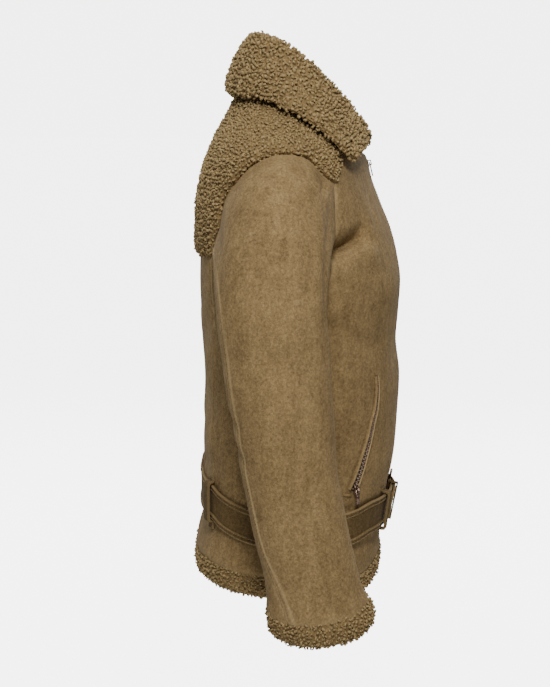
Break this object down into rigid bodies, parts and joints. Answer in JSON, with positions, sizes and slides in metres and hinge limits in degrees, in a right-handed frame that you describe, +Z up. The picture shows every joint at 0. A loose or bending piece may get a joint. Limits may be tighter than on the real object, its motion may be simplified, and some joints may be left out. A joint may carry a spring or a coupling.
{
  "type": "shearling jacket",
  "caption": "Suede-out shearling jacket with turned-down wool collar, wool shoulder yoke, cuffs and hem, waist belt and slanted zip pockets.",
  "frame": {"origin": "between the shoulders at the base of the neck, where the wearer carries the jacket", "axes": "+Z up, -Y towards the front of the jacket, +X towards the wearer's left"},
  "size_m": [0.6844, 0.2554, 0.6735],
  "materials": {
    "suede": "matte napped",
    "wool": "curly wool",
    "belt_suede": "matte napped",
    "zip_tape": "antique copper teeth on tape",
    "copper": "antique copper"
  },
  "bodies": {
    "jacket": {"front_R": "suede", "front_L": "suede", "side_back_R": "suede", "side_back_L": "suede", "back": "suede", "yoke": "wool", "hem_band": "wool", "collar": "wool", "sleeve_top_R": "suede", "sleeve_under_R": "suede", "cuff_R": "wool", "sleeve_top_L": "suede", "sleeve_under_L": "suede", "cuff_L": "wool", "belt": "belt_suede", "belt_loop_front_R": "belt_suede", "belt_loop_back_R": "belt_suede", "belt_loop_front_L": "belt_suede", "belt_loop_back_L": "belt_suede", "pocket_zip_R": "zip_tape", "pocket_lip_front_R": "suede", "pocket_lip_back_R": "suede", "pocket_tab_R": "belt_suede", "pocket_zip_L": "zip_tape", "pocket_lip_front_L": "suede", "pocket_lip_back_L": "suede", "pocket_tab_L": "belt_suede", "front_zip": "zip_tape", "slider_pocket_R": "copper", "slider_pocket_L": "copper", "slider_front": "copper", "buckle_frame": "copper", "buckle_prong": "copper", "belt_keeper": "belt_suede"},
    "pull_pocket_R": {"pull_pocket_R": "copper"},
    "pull_pocket_L": {"pull_pocket_L": "copper"},
    "pull_front": {"pull_front": "copper"}
  },
  "joints": [
    {"name": "pull_pocket_R_swing", "type": "hinge", "parent": "jacket", "child": "pull_pocket_R", "pos_m": [-0.16968, -0.08153, -0.41575], "axis": [-0.6696, 0.7427, 0], "range_deg": [-5, 120]},
    {"name": "pull_pocket_L_swing", "type": "hinge", "parent": "jacket", "child": "pull_pocket_L", "pos_m": [0.16968, -0.08153, -0.41575], "axis": [-0.6696, -0.7427, 0], "range_deg": [-5, 120]},
    {"name": "pull_front_swing", "type": "hinge", "parent": "jacket", "child": "pull_front", "pos_m": [0, -0.10158, -0.04128], "axis": [-1, 0, 0], "range_deg": [0, 120]}
  ]
}
